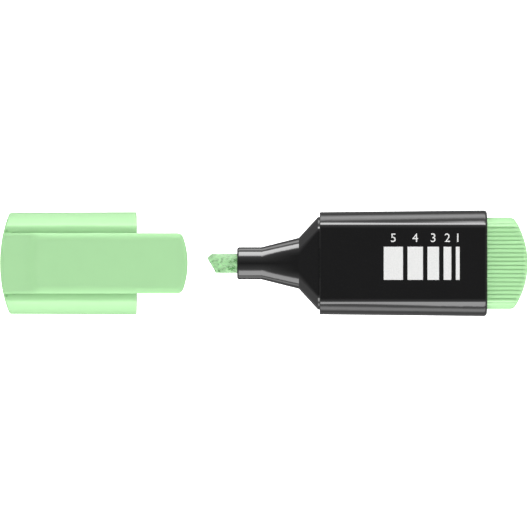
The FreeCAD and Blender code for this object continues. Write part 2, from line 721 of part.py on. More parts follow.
# ---------------------------------------------------------------- inner cap
# Round sealing cup; its flange stands on the cap's floor and its lip closes on the tube.
inner = new_body("inner_cap", CAP_END)
cup = disc(inner, "inner_cup_section", "Sheet.inner_start", "Sheet.inner_cup_diameter")
pad(inner, "inner_cup", cup, "Sheet.inner_end - Sheet.inner_start")
FLANGE = inset(FLOOR, "Sheet.fit_gap")
flange = flat_oval(inner, "inner_flange_section", "Sheet.cap_cavity_start", *FLANGE)
pad(inner, "inner_flange_plate", flange, "Sheet.inner_flange")
fin_sketch = new_sketch(inner, "inner_fin_outline", "XY_Plane", "0")
fin_reach = "Sheet.cap_end_width / 2 - Sheet.cap_wall - Sheet.fit_gap"
polygon(fin_sketch, box_points(
    "Sheet.cap_cavity_start",
    "Sheet.cap_cavity_start + Sheet.inner_fin_length",
    "-(%s)" % fin_reach,
    fin_reach,
))
pad(inner, "inner_side_fins", fin_sketch, "Sheet.inner_fin_thickness", symmetric=True)
fin_up = new_sketch(inner, "inner_face_fin_outline", "XZ_Plane", "0")
fin_rise = "Sheet.pen_thickness / 2 - Sheet.cap_wall - Sheet.fit_gap"
polygon(fin_up, box_points(
    "Sheet.cap_cavity_start",
    "Sheet.cap_cavity_start + Sheet.inner_fin_length",
    "-(%s)" % fin_rise,
    fin_rise,
))
pad(inner, "inner_face_fins", fin_up, "Sheet.inner_fin_thickness", symmetric=True)
lip = disc(inner, "inner_lip_section", "Sheet.inner_end", "Sheet.inner_lip_diameter")
pocket(inner, "inner_lip_bore", lip, "Sheet.inner_lip_length", forward=False)
bore = disc(
    inner, "inner_bore_section",
    "Sheet.inner_end - Sheet.inner_lip_length", "Sheet.inner_bore_diameter",
)
pocket(
    inner, "inner_bore", bore,
    "Sheet.inner_end - Sheet.inner_lip_length - Sheet.inner_start - Sheet.inner_floor",
    forward=False,
)

# ---------------------------------------------------------------- clip
# Blade over the cap's wide face and past its mouth; x = 0 is the cap's closed end.
clip = new_body("clip", CAP_END)
UNDER = "(Sheet.pen_thickness / 2 + Sheet.clip_gap)"
OVER = "(%s + Sheet.clip_thickness)" % UNDER
SIDE = "Sheet.clip_width / 2"


def blade_section(body, name):
    """Strip across the pen axis with rounded upper corners."""
    sketch = new_sketch(body, name, "YZ_Plane", "0")
    half = size(SIDE)
    low = size(UNDER)
    high = size(OVER)
    r = size("Sheet.clip_edge_round")
    quarter = math.pi / 2
    sketch.addGeometry([
        line(-half, low, half, low),
        line(half, low, half, high - r),
        arc(half - r, high - r, r, 0, quarter),
        line(half - r, high, r - half, high),
        arc(r - half, high - r, r, quarter, math.pi),
        line(-half, high - r, -half, low),
    ])
    sketch.addConstraint([
        Sketcher.Constraint("Coincident", 0, 2, 1, 1),
        Sketcher.Constraint("Tangent", 1, 2, 2, 1),
        Sketcher.Constraint("Tangent", 2, 2, 3, 1),
        Sketcher.Constraint("Tangent", 3, 2, 4, 1),
        Sketcher.Constraint("Tangent", 4, 2, 5, 1),
        Sketcher.Constraint("Coincident", 5, 2, 0, 1),
        Sketcher.Constraint("Horizontal", 3),
        Sketcher.Constraint("Vertical", 1),
        Sketcher.Constraint("Vertical", 5),
        Sketcher.Constraint("Symmetric", 0, 1, 0, 2, -2),
        Sketcher.Constraint("Equal", 2, 4),
    ])
    bind(sketch, "DistanceX", (-1, 1, 0, 2), SIDE, "half_width")
    bind(sketch, "DistanceY", (-1, 1, 0, 2), UNDER, "underside")
    bind(sketch, "DistanceY", (-1, 1, 3, 1), OVER, "top")
    bind(sketch, "Radius", (2,), "Sheet.clip_edge_round", "edge_round")
    return sketch


pad(clip, "clip_blade", blade_section(clip, "clip_blade_section"), "Sheet.clip_length")
ridge = new_sketch(clip, "clip_ridge_outline", "XZ_Plane", "0")
RIDGE_ROOT = UNDER + " + Sheet.clip_ridge_bite"
RIDGE_LOW = UNDER + " - Sheet.clip_ridge_height"
RIDGE_END = "Sheet.clip_ridge_start + Sheet.clip_ridge_length"
polygon(ridge, [
    ("Sheet.clip_ridge_start", RIDGE_ROOT),
    ("Sheet.clip_ridge_start + Sheet.clip_ridge_height", RIDGE_LOW),
    (RIDGE_END, RIDGE_LOW),
    (RIDGE_END + " + Sheet.clip_ridge_height", RIDGE_ROOT),
])
pad(clip, "clip_ridge", ridge, "Sheet.clip_width - 2 * Sheet.clip_ridge_inset", symmetric=True)
round_end(
    clip, "clip_root_end", "0", "Sheet.cap_end_radius",
    beyond("Sheet.clip_width / 2"), 1,
)


def free_end(body, name):
    """Cut that rounds the blade's free end and its two corners in plan."""
    sketch = new_sketch(body, name + "_outline", "XY_Plane", "0")
    half = size(SIDE)
    big = size("Sheet.clip_tip_radius")
    small = size("Sheet.clip_corner_radius")
    middle = size("Sheet.clip_length") - big
    corner = middle + math.sqrt((big - small) ** 2 - (half - small) ** 2)
    lean = math.atan2(half - small, corner - middle)
    out = half + ROUGH
    far = middle + big + ROUGH
    quarter = math.pi / 2
    sketch.addGeometry([
        arc(middle, 0, big, -lean, lean),
        arc(corner, half - small, small, lean, quarter),
        line(corner, half, corner, out),
        line(corner, out, far, out),
        line(far, out, far, -out),
        line(far, -out, corner, -out),
        line(corner, -out, corner, -half),
        arc(corner, small - half, small, -quarter, -lean),
    ])
    sketch.addConstraint([
        Sketcher.Constraint("Tangent", 0, 2, 1, 1),
        Sketcher.Constraint("Coincident", 1, 2, 2, 1),
        Sketcher.Constraint("Coincident", 2, 2, 3, 1),
        Sketcher.Constraint("Coincident", 3, 2, 4, 1),
        Sketcher.Constraint("Coincident", 4, 2, 5, 1),
        Sketcher.Constraint("Coincident", 5, 2, 6, 1),
        Sketcher.Constraint("Coincident", 6, 2, 7, 1),
        Sketcher.Constraint("Tangent", 7, 2, 0, 1),
        Sketcher.Constraint("PointOnObject", 0, 3, -1),
        Sketcher.Constraint("Vertical", 1, 3, 1, 2),
        Sketcher.Constraint("Vertical", 7, 3, 7, 1),
        Sketcher.Constraint("Equal", 1, 7),
        Sketcher.Constraint("Vertical", 2),
        Sketcher.Constraint("Vertical", 6),
        Sketcher.Constraint("Horizontal", 3),
        Sketcher.Constraint("Horizontal", 5),
        Sketcher.Constraint("Vertical", 4),
    ])
    bind(sketch, "Radius", (0,), "Sheet.clip_tip_radius", "tip_radius")
    bind(sketch, "Radius", (1,), "Sheet.clip_corner_radius", "corner_radius")
    bind(sketch, "DistanceX", (-1, 1, 0, 3), "Sheet.clip_length - Sheet.clip_tip_radius", "centre_x")
    bind(sketch, "DistanceY", (-1, 1, 1, 2), SIDE, "half_width")
    bind(sketch, "DistanceY", (6, 2, -1, 1), SIDE, "half_width_below")
    bind(sketch, "DistanceY", (-1, 1, 3, 1), "%s + %g" % (SIDE, ROUGH), "reach")
    bind(sketch, "DistanceY", (5, 1, -1, 1), "%s + %g" % (SIDE, ROUGH), "reach_below")
    bind(sketch, "DistanceX", (-1, 1, 4, 1), "Sheet.clip_length + %g" % ROUGH, "far_x")
    pocket(body, name, sketch, THROUGH, symmetric=True)


free_end(clip, "clip_free_end")


def roll_down(body, name):
    """Cut that curves the top of the blade down towards its free end."""
    sketch = new_sketch(body, name + "_outline", "XZ_Plane", "0")
    top = size(OVER)
    run = size("Sheet.clip_roll")
    drop = size("Sheet.clip_roll_drop")
    start = size("Sheet.clip_length") - run
    end = start + run
    big = (run ** 2 + drop ** 2) / (2 * drop)
    turn = math.asin(run / big)
    sketch.addGeometry([
        arc(start, top - big, big, math.pi / 2 - turn, math.pi / 2),
        line(start, top, start, top + ROUGH),
        line(start, top + ROUGH, end, top + ROUGH),
        line(end, top + ROUGH, end, top - drop),
    ])
    sketch.addConstraint([
        Sketcher.Constraint("Coincident", 0, 2, 1, 1),
        Sketcher.Constraint("Coincident", 1, 2, 2, 1),
        Sketcher.Constraint("Coincident", 2, 2, 3, 1),
        Sketcher.Constraint("Coincident", 3, 2, 0, 1),
        Sketcher.Constraint("Vertical", 1),
        Sketcher.Constraint("Horizontal", 2),
        Sketcher.Constraint("Vertical", 3),
        Sketcher.Constraint("Vertical", 0, 3, 0, 2),
    ])
    bind(sketch, "DistanceX", (-1, 1, 1, 1), "Sheet.clip_length - Sheet.clip_roll", "roll_start")
    bind(sketch, "DistanceY", (-1, 1, 1, 1), OVER, "top")
    bind(sketch, "DistanceX", (2, 1, 2, 2), "Sheet.clip_roll", "roll_length")
    bind(sketch, "DistanceY", (-1, 1, 3, 2), "%s - Sheet.clip_roll_drop" % OVER, "tip_height")
    bind(sketch, "DistanceY", (1, 1, 1, 2), "%g" % ROUGH, "clear")
    pocket(body, name, sketch, THROUGH, symmetric=True)


roll_down(clip, "clip_roll")

# ---------------------------------------------------------------- checks and export
doc.recompute()
PARTS = [barrel, nose, nib, reservoir, film, plug, cap, inner, clip]
for item in doc.Objects:
    state = [word for word in item.State if word in ("Invalid", "Error")]
    if state:
        raise RuntimeError("%s is %s" % (item.Label, state))
os.makedirs("parts", exist_ok=True)
for body in PARTS:
    shape = body.Shape
    if shape.isNull() or not shape.isValid() or len(shape.Solids) != 1:
        raise RuntimeError("%s has no single valid solid" % body.Label)
    shape.exportStep("parts/%s.step" % body.Label)
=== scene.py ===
"""Looks of a flat pastel highlighter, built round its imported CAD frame."""

import json
import math

import bmesh
import bpy
from mathutils import Matrix, Vector, noise

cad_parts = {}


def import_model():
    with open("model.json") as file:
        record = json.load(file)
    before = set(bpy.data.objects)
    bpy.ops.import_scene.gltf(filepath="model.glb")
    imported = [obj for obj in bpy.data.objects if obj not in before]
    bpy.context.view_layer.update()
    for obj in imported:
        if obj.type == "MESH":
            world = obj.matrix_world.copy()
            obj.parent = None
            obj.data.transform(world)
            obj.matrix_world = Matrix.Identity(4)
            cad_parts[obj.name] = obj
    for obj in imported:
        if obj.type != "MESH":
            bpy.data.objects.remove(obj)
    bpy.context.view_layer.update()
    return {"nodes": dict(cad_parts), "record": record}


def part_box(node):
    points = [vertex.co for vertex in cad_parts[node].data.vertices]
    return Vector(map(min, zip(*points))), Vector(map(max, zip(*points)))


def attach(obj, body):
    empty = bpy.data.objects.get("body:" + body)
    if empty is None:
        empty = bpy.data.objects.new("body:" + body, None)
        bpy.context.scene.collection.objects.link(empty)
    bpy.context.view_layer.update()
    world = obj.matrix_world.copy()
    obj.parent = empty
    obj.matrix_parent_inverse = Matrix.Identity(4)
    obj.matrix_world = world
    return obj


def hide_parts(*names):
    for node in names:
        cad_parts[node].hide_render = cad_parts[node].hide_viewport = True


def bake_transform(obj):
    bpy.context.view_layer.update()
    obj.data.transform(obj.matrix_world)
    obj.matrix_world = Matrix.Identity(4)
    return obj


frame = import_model()
MM = 0.001

CLIP_LOW, CLIP_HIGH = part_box("clip")
BARREL_LOW, BARREL_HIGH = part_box("barrel")
AXIS_Z = (BARREL_LOW.z + BARREL_HIGH.z) / 2


# ---------------------------------------------------------------- node helpers
def math_node(tree, operation, *values):
    """One step of arithmetic on numbers or sockets."""
    node = tree.nodes.new("ShaderNodeMath")
    node.operation = operation
    for socket, value in zip(node.inputs, values):
        if isinstance(value, (int, float)):
            socket.default_value = value
        else:
            tree.links.new(value, socket)
    return node.outputs["Value"]


def range_node(tree, value, source=(0.0, 1.0), result=(0.0, 1.0), interpolation="LINEAR"):
    """Maps a value from its source range onto the result range."""
    node = tree.nodes.new("ShaderNodeMapRange")
    node.interpolation_type = interpolation
    node.inputs["From Min"].default_value, node.inputs["From Max"].default_value = source
    node.inputs["To Min"].default_value, node.inputs["To Max"].default_value = result
    tree.links.new(value, node.inputs["Value"])
    return node.outputs["Result"]


def ramp_node(tree, value, stops):
    """Colour that a value picks from (position, colour) stops in rising order."""
    node = tree.nodes.new("ShaderNodeValToRGB")
    elements = node.color_ramp.elements
    while len(elements) < len(stops):
        elements.new(0.5)
    for element, (position, colour) in zip(elements, stops):
        element.position = position
        element.color = (*colour, 1)
    tree.links.new(value, node.inputs["Fac"])
    return node.outputs["Color"]


def mix_node(tree, factor, low, high):
    """Colour between low and high; high is a socket or a plain colour."""
    node = tree.nodes.new("ShaderNodeMix")
    node.data_type = "RGBA"
    tree.links.new(factor, node.inputs["Factor"])
    tree.links.new(low, node.inputs["A"])
    if isinstance(high, tuple):
        node.inputs["B"].default_value = (*high, 1)
    else:
        tree.links.new(high, node.inputs["B"])
    return node.outputs["Result"]


class Shader:
    """Small wrapper for building one material's node tree."""

    def __init__(self, name):
        self.material = bpy.data.materials.new(name)
        self.material.use_nodes = True
        self.tree = self.material.node_tree
        self.tree.nodes.clear()
        self.output = self.tree.nodes.new("ShaderNodeOutputMaterial")
        self.surface = self.tree.nodes.new("ShaderNodeBsdfPrincipled")
        self.link(self.surface.outputs["BSDF"], self.output.inputs["Surface"])
        self.place = self.tree.nodes.new("ShaderNodeTexCoord").outputs["Object"]

    def link(self, source, target):
        self.tree.links.new(source, target)

    def set(self, **values):
        for name, value in values.items():
            self.surface.inputs[name.replace("_", " ")].default_value = value

    def stretch(self, scale, rotation=(0, 0, 0)):
        node = self.tree.nodes.new("ShaderNodeMapping")
        node.inputs["Scale"].default_value = scale
        node.inputs["Rotation"].default_value = rotation
        self.link(self.place, node.inputs["Vector"])
        return node.outputs["Vector"]

    def noise(self, scale, detail=3.0, roughness=0.5, distortion=0.0, vector=None):
        node = self.tree.nodes.new("ShaderNodeTexNoise")
        node.inputs["Scale"].default_value = scale
        node.inputs["Detail"].default_value = detail
        node.inputs["Roughness"].default_value = roughness
        node.inputs["Distortion"].default_value = distortion
        self.link(vector or self.place, node.inputs["Vector"])
        return node.outputs["Fac"]

    def spread(self, source, low, high, start=0.3, end=0.7):
        """Maps values from start to end onto low to high."""
        return range_node(self.tree, source, (start, end), (low, high))

    def ramp(self, source, stops):
        return ramp_node(self.tree, source, stops)

    def math(self, operation, *values):
        return math_node(self.tree, operation, *values)

    def power(self, source, exponent):
        return self.math("POWER", source, exponent)

    def fold(self, source, times):
        """Folds a value into evenly spaced bands between 0 and 1."""
        return self.math("PINGPONG", self.math("MULTIPLY", source, times), 1.0)

    def axis(self, name):
        """One coordinate of the shaded point, in metres."""
        node = self.tree.nodes.new("ShaderNodeSeparateXYZ")
        self.link(self.place, node.inputs["Vector"])
        return node.outputs[name]

    def mix(self, factor, low, high):
        return mix_node(self.tree, factor, low, high)

    def bump(self, height, distance, strength=1.0, below=None):
        node = self.tree.nodes.new("ShaderNodeBump")
        node.inputs["Strength"].default_value = strength
        node.inputs["Distance"].default_value = distance
        self.link(height, node.inputs["Height"])
        if below is not None:
            self.link(below, node.inputs["Normal"])
        return node.outputs["Normal"]

    def feed(self, source, socket):
        self.link(source, self.surface.inputs[socket])


def tint(colour, amount):
    return tuple(min(1.0, c * amount) for c in colour)


GREEN = (0.40, 0.735, 0.36)
BLACK = (0.0035, 0.0035, 0.0038)
MILKY_WHITE = (0.78, 0.8, 0.76)
CLEAR_FILM = (0.72, 0.78, 0.72)
FELT = (0.37, 0.69, 0.34)
FELT_DEEP = (0.10, 0.33, 0.09)
FELT_PALE = (0.60, 0.90, 0.56)
# Where across the nib its pale side starts, and is palest.
FELT_PALE_SIDE = (0.4 * MM, 2.3 * MM)
POLISH_VARIATION = 0.06
RIPPLE_HEIGHT = 0.0015 * MM
PLASTIC_IOR = 1.49

# Painted light: the plug's green is lighter than the cap's, standing in for light caught on the
# rounded rib crests and making up for the grooves' painted shade.
RIB_PAINTED_LIGHT = 1.18
RIB_PITCH = 1.08 * MM
RIB_CREST = 0.2 * MM
# Share of the green left at the bottom of the grooves: painted shade.
GROOVE_PAINTED_SHADE = 0.73
# How far above or below the pen's axis the grooves' painted shade and bump start, and are full.
GROOVE_FADE = (5.4 * MM, 6.2 * MM)


def moulded_plastic(name, colour, roughness, spread, grain, crest=0.0):
    """Moulded plastic: faint flow clouds, uneven polish and a very fine surface ripple.

    Spread is the colour's variation, and grain the height of the finest texture. A crest
    height rounds the tops of the lengthwise ribs with a bump, and paints shade into the base
    colour of the grooves between them, on the two wide faces only.
    """
    shader = Shader(name)
    clouds = shader.noise(scale=220, detail=2.0)
    body = shader.ramp(clouds, [(0.3, tint(colour, 1 - spread)), (0.7, tint(colour, 1 + spread))])
    polish = shader.noise(scale=900, detail=4.0, roughness=0.6)
    smoothest = roughness * (1 - POLISH_VARIATION)
    roughest = roughness * (1 + POLISH_VARIATION)
    shader.feed(shader.spread(polish, smoothest, roughest), "Roughness")
    ripple = shader.bump(shader.noise(scale=380, detail=1.0), RIPPLE_HEIGHT)
    if crest:
        waves = shader.power(shader.fold(shader.axis("Y"), 2 / RIB_PITCH), 2.0)
        height = shader.math("ABSOLUTE", shader.math("SUBTRACT", shader.axis("Z"), AXIS_Z))
        valley = shader.math("MULTIPLY", waves, shader.spread(height, 0.0, 1.0, *GROOVE_FADE))
        # Painted shade: the base colour darkens towards the bottoms of the grooves.
        body = shader.mix(valley, body, tint(colour, GROOVE_PAINTED_SHADE))
        ripple = shader.bump(valley, -crest, below=ripple)
    shader.feed(body, "Base Color")
    texture = shader.noise(scale=5200, detail=2.0)
    shader.feed(shader.bump(texture, grain, below=ripple), "Normal")
    shader.set(IOR=PLASTIC_IOR)
    return shader.material


def green_plastic():
    return moulded_plastic(
        "green_plastic", GREEN, roughness=0.48, spread=0.008, grain=0.0005 * MM,
    )


def ribbed_plastic():
    # Lighter copy of the cap's green: painted light on the rib crests.
    return moulded_plastic(
        "green_ribbed_plastic", tint(GREEN, RIB_PAINTED_LIGHT),
        roughness=0.42, spread=0.008, grain=0.0005 * MM, crest=RIB_CREST,
    )


def black_plastic():
    return moulded_plastic("black_plastic", BLACK, roughness=0.09, spread=0.08, grain=0.0002 * MM)


def white_plastic():
    return moulded_plastic(
        "inner_cap_plastic", MILKY_WHITE, roughness=0.42, spread=0.015, grain=0.002 * MM,
    )


def film():
    return moulded_plastic(
        "sleeve_film", CLEAR_FILM, roughness=0.2, spread=0.02, grain=0.001 * MM,
    )


def felt():
    """Bonded felt soaked with ink: pale curled fibres over darker pools of ink."""
    shader = Shader("nib_felt")
    along = shader.stretch(scale=(0.6, 1.0, 1.0), rotation=(0.3, 0.2, 0.5))
    pools = shader.noise(scale=760, detail=3.0, roughness=0.6, distortion=0.8, vector=along)
    soaked = shader.ramp(pools, [(0.4, FELT_DEEP), (0.5, FELT), (0.62, tint(FELT, 1.35))])
    curls = shader.noise(scale=560, detail=1.5, roughness=0.5, distortion=2.0, vector=along)
    strands = shader.fold(curls, times=11)
    strand_share = shader.spread(strands, 0.0, 0.8, start=0.5, end=1.0)
    combed = shader.mix(strand_share, soaked, FELT_PALE)
    pale_share = shader.spread(shader.axis("Y"), 0.0, 0.65, *FELT_PALE_SIDE)
    shader.feed(shader.mix(pale_share, combed, FELT_PALE), "Base Color")
    hair = shader.noise(scale=4200, detail=3.0, roughness=0.6, distortion=0.8, vector=along)
    shader.feed(shader.spread(hair, 0.72, 0.95), "Roughness")
    swell = shader.bump(strands, 0.08 * MM)
    shader.feed(shader.bump(hair, 0.04 * MM, strength=0.8, below=swell), "Normal")
    shader.set(Sheen_Weight=0.2, Sheen_Roughness=0.4, Specular_IOR_Level=0.3)
    return shader.material


def reservoir_fibre():
    """Lengthwise bundled fibre."""
    shader = Shader("reservoir_fibre")
    lengthwise = shader.stretch(scale=(0.02, 1.0, 1.0))
    fibre = shader.noise(
        scale=3000, detail=3.0, roughness=0.6, distortion=0.1, vector=lengthwise,
    )
    shader.feed(
        shader.ramp(fibre, [(0.35, tint(FELT, 0.7)), (0.65, tint(FELT, 1.2))]), "Base Color",
    )
    shader.feed(shader.spread(fibre, 0.75, 0.95), "Roughness")
    shader.feed(shader.bump(fibre, 0.05 * MM), "Normal")
    return shader.material


INK_THIN = (0.74, 0.75, 0.74)
INK_FULL = (0.88, 0.88, 0.87)


def print_ink():
    """White screen-printed ink, a little thin in places."""
    shader = Shader("print_white")
    cover = shader.noise(scale=3500, detail=3.0, roughness=0.6)
    shader.feed(shader.ramp(cover, [(0.3, INK_THIN), (0.6, INK_FULL)]), "Base Color")
    shader.feed(shader.spread(cover, 0.32, 0.5), "Roughness")
    shader.feed(shader.bump(cover, 0.002 * MM), "Normal")
    return shader.material


MATERIALS = {
    "green_plastic": green_plastic(),
    "black_plastic": black_plastic(),
    "nib_felt": felt(),
    "reservoir_fibre": reservoir_fibre(),
    "sleeve_film": film(),
    "inner_cap_plastic": white_plastic(),
    "print_white": print_ink(),
}


# ---------------------------------------------------------------- CAD nodes
def dress_cad_nodes():
    """Gives every carried-over CAD node its procedural material."""
    slots = {part["node"]: part["material_slot"] for part in frame["record"]["subparts"]}
    for name, node in frame["nodes"].items():
        material = ribbed_plastic() if name == "end_plug" else MATERIALS[slots[name]]
        node.data.materials.clear()
        node.data.materials.append(material)


dress_cad_nodes()


def new_piece(name, mesh, body, slot_name):
    """Adds a visual piece with its material, riding on a body where one is given."""
    piece = bpy.data.objects.new(name, mesh)
    bpy.context.scene.collection.objects.link(piece)
    mesh.materials.append(MATERIALS[slot_name])
    if body:
        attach(piece, body)
    return piece


# ---------------------------------------------------------------- clip
CLIP_HALF = (CLIP_HIGH.y - CLIP_LOW.y) / 2
CLIP_TOP = CLIP_HIGH.z
CLIP_THICK = 1.6 * MM
ROOT_RADIUS = 38.5 * MM
TIP_RADIUS = 20.5 * MM
CORNER = 1.7 * MM
BEVEL_POWER = 1.7
# Rounded edges: how far in from the edge the fall starts, and how deep it gets.
SIDE_ROUND = (2.1 * MM, 0.74 * MM)
ROOT_ROUND = (1.3 * MM, 0.9 * MM)
TIP_ROUND = (1.0 * MM, 0.55 * MM)
UNDER_ROUND = 0.2 * MM
# Share of the free end's downward roll that the underside follows.
UNDER_SHARE = 0.55
ROLL_RUN = 2.7 * MM
ROLL_DROP = 0.75 * MM
RIDGE_HALF_WIDTH = CLIP_HALF - 1.5 * MM
RIDGE_START = CLIP_LOW.x + 43.2 * MM
RIDGE_RUN = 4.6 * MM
RIDGE_DEPTH = 0.88 * MM
RIDGE_POWER = 1.2
TIP_CENTRE = CLIP_HIGH.x - TIP_RADIUS
CORNER_X = TIP_CENTRE + math.sqrt((TIP_RADIUS - CORNER) ** 2 - (CLIP_HALF - CORNER) ** 2)


def clip_left(y):
    """X of the blade's fixed end."""
    return CLIP_LOW.x + ROOT_RADIUS - math.sqrt(ROOT_RADIUS ** 2 - y ** 2)


def clip_right(y):
    """X of the blade's free end, with its rounded corners."""
    inner = CLIP_HALF - CORNER
    reach = abs(y)
    lean = math.atan2(inner, CORNER_X - TIP_CENTRE)
    if reach > TIP_RADIUS * math.sin(lean):
        return CORNER_X + math.sqrt(max(0.0, CORNER ** 2 - (reach - inner) ** 2))
    return TIP_CENTRE + math.sqrt(TIP_RADIUS ** 2 - reach ** 2)


def root_gap(x, y):
    """Distance from a point of the blade to the arc of its fixed end."""
    return max(0.0, ROOT_RADIUS - math.hypot(CLIP_LOW.x + ROOT_RADIUS - x, y))


def tip_gap(x, y):
    """Distance from a point of the blade to the arc of its free end."""
    return max(0.0, TIP_RADIUS - math.hypot(x - TIP_CENTRE, y))


def soft_fall(gap, run, drop):
    """Fall of a flattened rounding that starts at the given run from the edge."""
    past = min(1.0, max(0.0, 1 - gap / run))
    return drop * (1 - math.sqrt(1 - past * past))


def bevel_fall(gap, run, drop):
    """Fall of a softened bevel that starts at the given run from the edge."""
    return drop * max(0.0, 1 - gap / run) ** BEVEL_POWER


def edge_fall(x, y):
    """Fall of the blade's top near its sides and ends, blended at the corners."""
    side = bevel_fall(CLIP_HALF - abs(y), *SIDE_ROUND)
    root = bevel_fall(root_gap(x, y), *ROOT_ROUND)
    tip = bevel_fall(tip_gap(x, y), *TIP_ROUND)
    return math.cbrt(side ** 3 + root ** 3 + tip ** 3)


def roll_fall(x):
    """Fall of the blade as it rolls down towards its free end."""
    past = max(0.0, x - (CLIP_HIGH.x - ROLL_RUN)) / ROLL_RUN
    return ROLL_DROP * past * past


def ridge_fall(x, y):
    """Depth of the grip ridge under the free end."""
    share = (x - RIDGE_START) / RIDGE_RUN
    if not 0 < share < 1 or abs(y) > RIDGE_HALF_WIDTH:
        return 0.0
    return RIDGE_DEPTH * math.sin(math.pi * share) ** RIDGE_POWER


# Millimetres in from an edge of the blade at which its grid has lines.
EDGE_STEPS = [0.0, 0.02, 0.06, 0.12, 0.2, 0.3, 0.44, 0.6, 0.85, 1.2, 1.7, 2.2, 2.7, 3.3]
STEPS_ACROSS = 5
STEPS_ALONG = 44


def clip_rows():
    """Grid of the blade, closest near its edges: (y, every x) for each row."""
    edge = [step * MM for step in EDGE_STEPS]
    inner_y = CLIP_HALF - edge[-1]
    across = [-(CLIP_HALF - e) for e in edge]
    across += [inner_y * k / STEPS_ACROSS for k in range(1 - STEPS_ACROSS, STEPS_ACROSS)]
    across += [CLIP_HALF - e for e in reversed(edge)]
    rows = []
    for y in across:
        left = clip_left(y)
        right = clip_right(y)
        middle = right - left - 2 * edge[-1]
        row = [left + e for e in edge]
        row += [left + edge[-1] + middle * k / STEPS_ALONG for k in range(1, STEPS_ALONG)]
        row += [right - e for e in reversed(edge)]
        rows.append((y, row))
    return rows


def clip_heights(x, y):
    """Heights of the blade's top and underside."""
    fall = roll_fall(x)
    rim = min(CLIP_HALF - abs(y), root_gap(x, y), tip_gap(x, y))
    lift = soft_fall(rim, UNDER_ROUND, UNDER_ROUND)
    z_top = CLIP_TOP - fall - edge_fall(x, y)
    z_under = CLIP_TOP - CLIP_THICK - UNDER_SHARE * fall + lift - ridge_fall(x, y)
    return z_top, z_under


def clip_mesh():
    """Blade as two height fields, above and below, joined round the outline."""
    mesh = bpy.data.meshes.new("clip_blade")
    form = bmesh.new()
    top = []
    under = []
    for y, row in clip_rows():
        top_row = []
        under_row = []
        for x in row:
            z_top, z_under = clip_heights(x, y)
            top_row.append(form.verts.new((x, y, z_top)))
            under_row.append(form.verts.new((x, y, z_under)))
        top.append(top_row)
        under.append(under_row)
    last_row = len(top) - 1
    last_column = len(top[0]) - 1
    for i in range(last_row):
        for j in range(last_column):
            form.faces.new((top[i][j], top[i][j + 1], top[i + 1][j + 1], top[i + 1][j]))
            form.faces.new((under[i][j], under[i + 1][j], under[i + 1][j + 1], under[i][j + 1]))
    for j in range(last_column):
        form.faces.new((top[0][j], under[0][j], under[0][j + 1], top[0][j + 1]))
        form.faces.new((
            top[last_row][j], top[last_row][j + 1], under[last_row][j + 1], under[last_row][j],
        ))
    for i in range(last_row):
        form.faces.new((top[i][0], top[i + 1][0], under[i + 1][0], under[i][0]))
        form.faces.new((
            top[i][last_column], under[i][last_column],
            under[i + 1][last_column], top[i + 1][last_column],
        ))
    bmesh.ops.recalc_face_normals(form, faces=form.faces)
    for face in form.faces:
        face.smooth = True
    form.to_mesh(mesh)
    form.free()
    return mesh


clip = new_piece("clip_blade", clip_mesh(), None, "green_plastic")
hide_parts("clip")
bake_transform(clip)


# ---------------------------------------------------------------- nib
# In millimetres, and waves per millimetre.
NIB_VOXEL = 0.13
FIBRE_STRETCH = 0.6
SWIRL_WAVES = 0.9
SWIRL_REACH = 0.8
CLUMP_WAVES = 2.1
CLUMP_HEIGHT = 0.075
FIBRE_WAVES = 5.2
FIBRE_HEIGHT = 0.05


def nib_mesh():
    """CAD nib remeshed finely, with matted fibre standing out of its surface."""
    source = frame["nodes"]["nib"].data.copy()
    source.materials.clear()
    for vertex in source.vertices:
        vertex.co /= MM
    rough = bpy.data.objects.new("nib_source", source)
    bpy.context.scene.collection.objects.link(rough)
    remesh = rough.modifiers.new("remesh", "REMESH")
    remesh.mode = "VOXEL"
    remesh.voxel_size = NIB_VOXEL
    graph = bpy.context.evaluated_depsgraph_get()
    mesh = bpy.data.meshes.new_from_object(rough.evaluated_get(graph))
    bpy.data.objects.remove(rough)
    normals = [vertex.normal.copy() for vertex in mesh.vertices]
    for vertex, normal in zip(mesh.vertices, normals):
        spot = vertex.co
        swirl = noise.noise_vector(spot * SWIRL_WAVES) * SWIRL_REACH
        along = Vector((spot.x * FIBRE_STRETCH, spot.y, spot.z)) + swirl
        clump = noise.noise(along * CLUMP_WAVES)
        fibre = noise.noise(along * FIBRE_WAVES)
        vertex.co = (spot + normal * (CLUMP_HEIGHT * clump + FIBRE_HEIGHT * fibre)) * MM
    for polygon in mesh.polygons:
        polygon.use_smooth = True
    mesh.name = "nib_felt_rod"
    return mesh


nib = new_piece("nib_felt_rod", nib_mesh(), "barrel", "nib_felt")
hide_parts("nib")


# ---------------------------------------------------------------- printed line-width guide
PRINT_TOP = BARREL_HIGH.z
PRINT_THICK = 0.015 * MM
PRINT_SUNK = 0.3 * PRINT_THICK
BAR_WIDTHS = (5, 4, 3, 2, 1)
BAR_HEIGHT = 8.6 * MM
PRINT_LENGTH = 19.7 * MM
PRINT_START = BARREL_LOW.x + 16.6 * MM
DIGIT_SIZE = 3.2 * MM
DIGIT_GAP = 2.2 * MM


def add_slab(form, x1, x2, y1, y2):
    """Thin printed patch on the barrel's face."""
    corners = [(x1, y1), (x2, y1), (x2, y2), (x1, y2)]
    low = [form.verts.new((x, y, PRINT_TOP - PRINT_SUNK)) for x, y in corners]
    high = [form.verts.new((x, y, PRINT_TOP + PRINT_THICK)) for x, y in corners]
    form.faces.new(high)
    form.faces.new(list(reversed(low)))
    for k in range(len(corners)):
        after = (k + 1) % len(corners)
        form.faces.new((low[k], low[after], high[after], high[k]))


